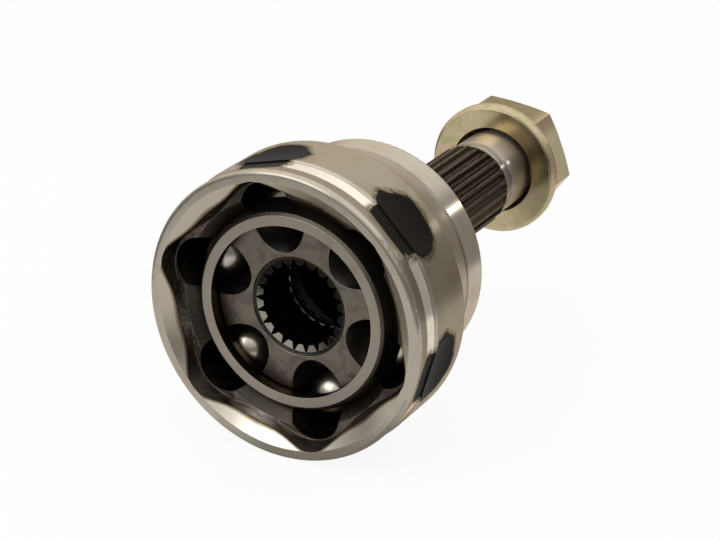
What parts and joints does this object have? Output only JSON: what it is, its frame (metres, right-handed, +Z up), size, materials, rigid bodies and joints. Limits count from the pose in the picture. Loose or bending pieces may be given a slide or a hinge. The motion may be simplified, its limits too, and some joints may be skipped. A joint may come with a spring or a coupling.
{
  "type": "cv joint",
  "caption": "Outer fixed ball-type constant velocity joint: grooved bell with splined stub, cage, balls, inner race and flanged hub nut.",
  "frame": {"origin": "joint centre, where the axis of the stub meets the middle plane of the balls", "axes": "+Y along the joint axis from the open mouth to the threaded stub end, +Z up, +X to the right seen from the mouth"},
  "size_m": [0.0854, 0.1543, 0.0854],
  "materials": {
    "turned_steel": "turned and ground, satin",
    "race_steel": "ground, dull, oil-stained",
    "cage_steel": "matt, phosphated",
    "ball_steel": "polished",
    "clip_steel": "bright drawn wire",
    "zinc_yellow": "yellow passivated zinc, stained"
  },
  "bodies": {
    "outer_race": {"outer_race": "turned_steel"},
    "inner_race": {"inner_race": "race_steel", "retaining_clip": "clip_steel"},
    "cage": {"cage": "cage_steel"},
    "ball_1": {"ball_1": "ball_steel"},
    "ball_2": {"ball_2": "ball_steel"},
    "ball_3": {"ball_3": "ball_steel"},
    "ball_4": {"ball_4": "ball_steel"},
    "ball_5": {"ball_5": "ball_steel"},
    "ball_6": {"ball_6": "ball_steel"},
    "hub_nut": {"hub_nut": "zinc_yellow"}
  },
  "joints": [
    {"name": "bend", "type": "hinge", "parent": "outer_race", "child": "inner_race", "pos_m": [0, 0, 0], "axis": [0, 0, 1], "range_deg": [-45, 45]},
    {"name": "cage_swing", "type": "hinge", "parent": "outer_race", "child": "cage", "pos_m": [0, 0, 0], "axis": [0, 0, 1], "range_deg": [-22.5, 22.5]},
    {"name": "ball_1_swing", "type": "hinge", "parent": "outer_race", "child": "ball_1", "pos_m": [0, 0, 0], "axis": [-0.6884, 0, 0.7254], "range_deg": [-16.7, 16.7]},
    {"name": "ball_2_swing", "type": "hinge", "parent": "outer_race", "child": "ball_2", "pos_m": [0, 0, 0], "axis": [-0.9724, 0, -0.2334], "range_deg": [-5.5, 5.5]},
    {"name": "ball_3_swing", "type": "hinge", "parent": "outer_race", "child": "ball_3", "pos_m": [0, 0, 0], "axis": [-0.284, 0, -0.9588], "range_deg": [-21.7, 21.7]},
    {"name": "ball_4_swing", "type": "hinge", "parent": "outer_race", "child": "ball_4", "pos_m": [0, 0, 0], "axis": [0.6884, 0, -0.7254], "range_deg": [-16.7, 16.7]},
    {"name": "ball_5_swing", "type": "hinge", "parent": "outer_race", "child": "ball_5", "pos_m": [0, 0, 0], "axis": [0.9724, 0, 0.2334], "range_deg": [-5.5, 5.5]},
    {"name": "ball_6_swing", "type": "hinge", "parent": "outer_race", "child": "ball_6", "pos_m": [0, 0, 0], "axis": [0.284, 0, 0.9588], "range_deg": [-21.7, 21.7]},
    {"name": "hub_nut_turn", "type": "hinge", "parent": "outer_race", "child": "hub_nut", "pos_m": [0, 0.123, 0], "axis": [0, 1, 0], "continuous": true}
  ],
  "couplings": [
    {"joint": "cage_swing", "follows": "bend", "ratio": 0.5},
    {"joint": "ball_1_swing", "follows": "bend", "ratio": 0.36943},
    {"joint": "ball_2_swing", "follows": "bend", "ratio": -0.1212},
    {"joint": "ball_3_swing", "follows": "bend", "ratio": -0.48085},
    {"joint": "ball_4_swing", "follows": "bend", "ratio": -0.36943},
    {"joint": "ball_5_swing", "follows": "bend", "ratio": 0.1212},
    {"joint": "ball_6_swing", "follows": "bend", "ratio": 0.48085}
  ]
}
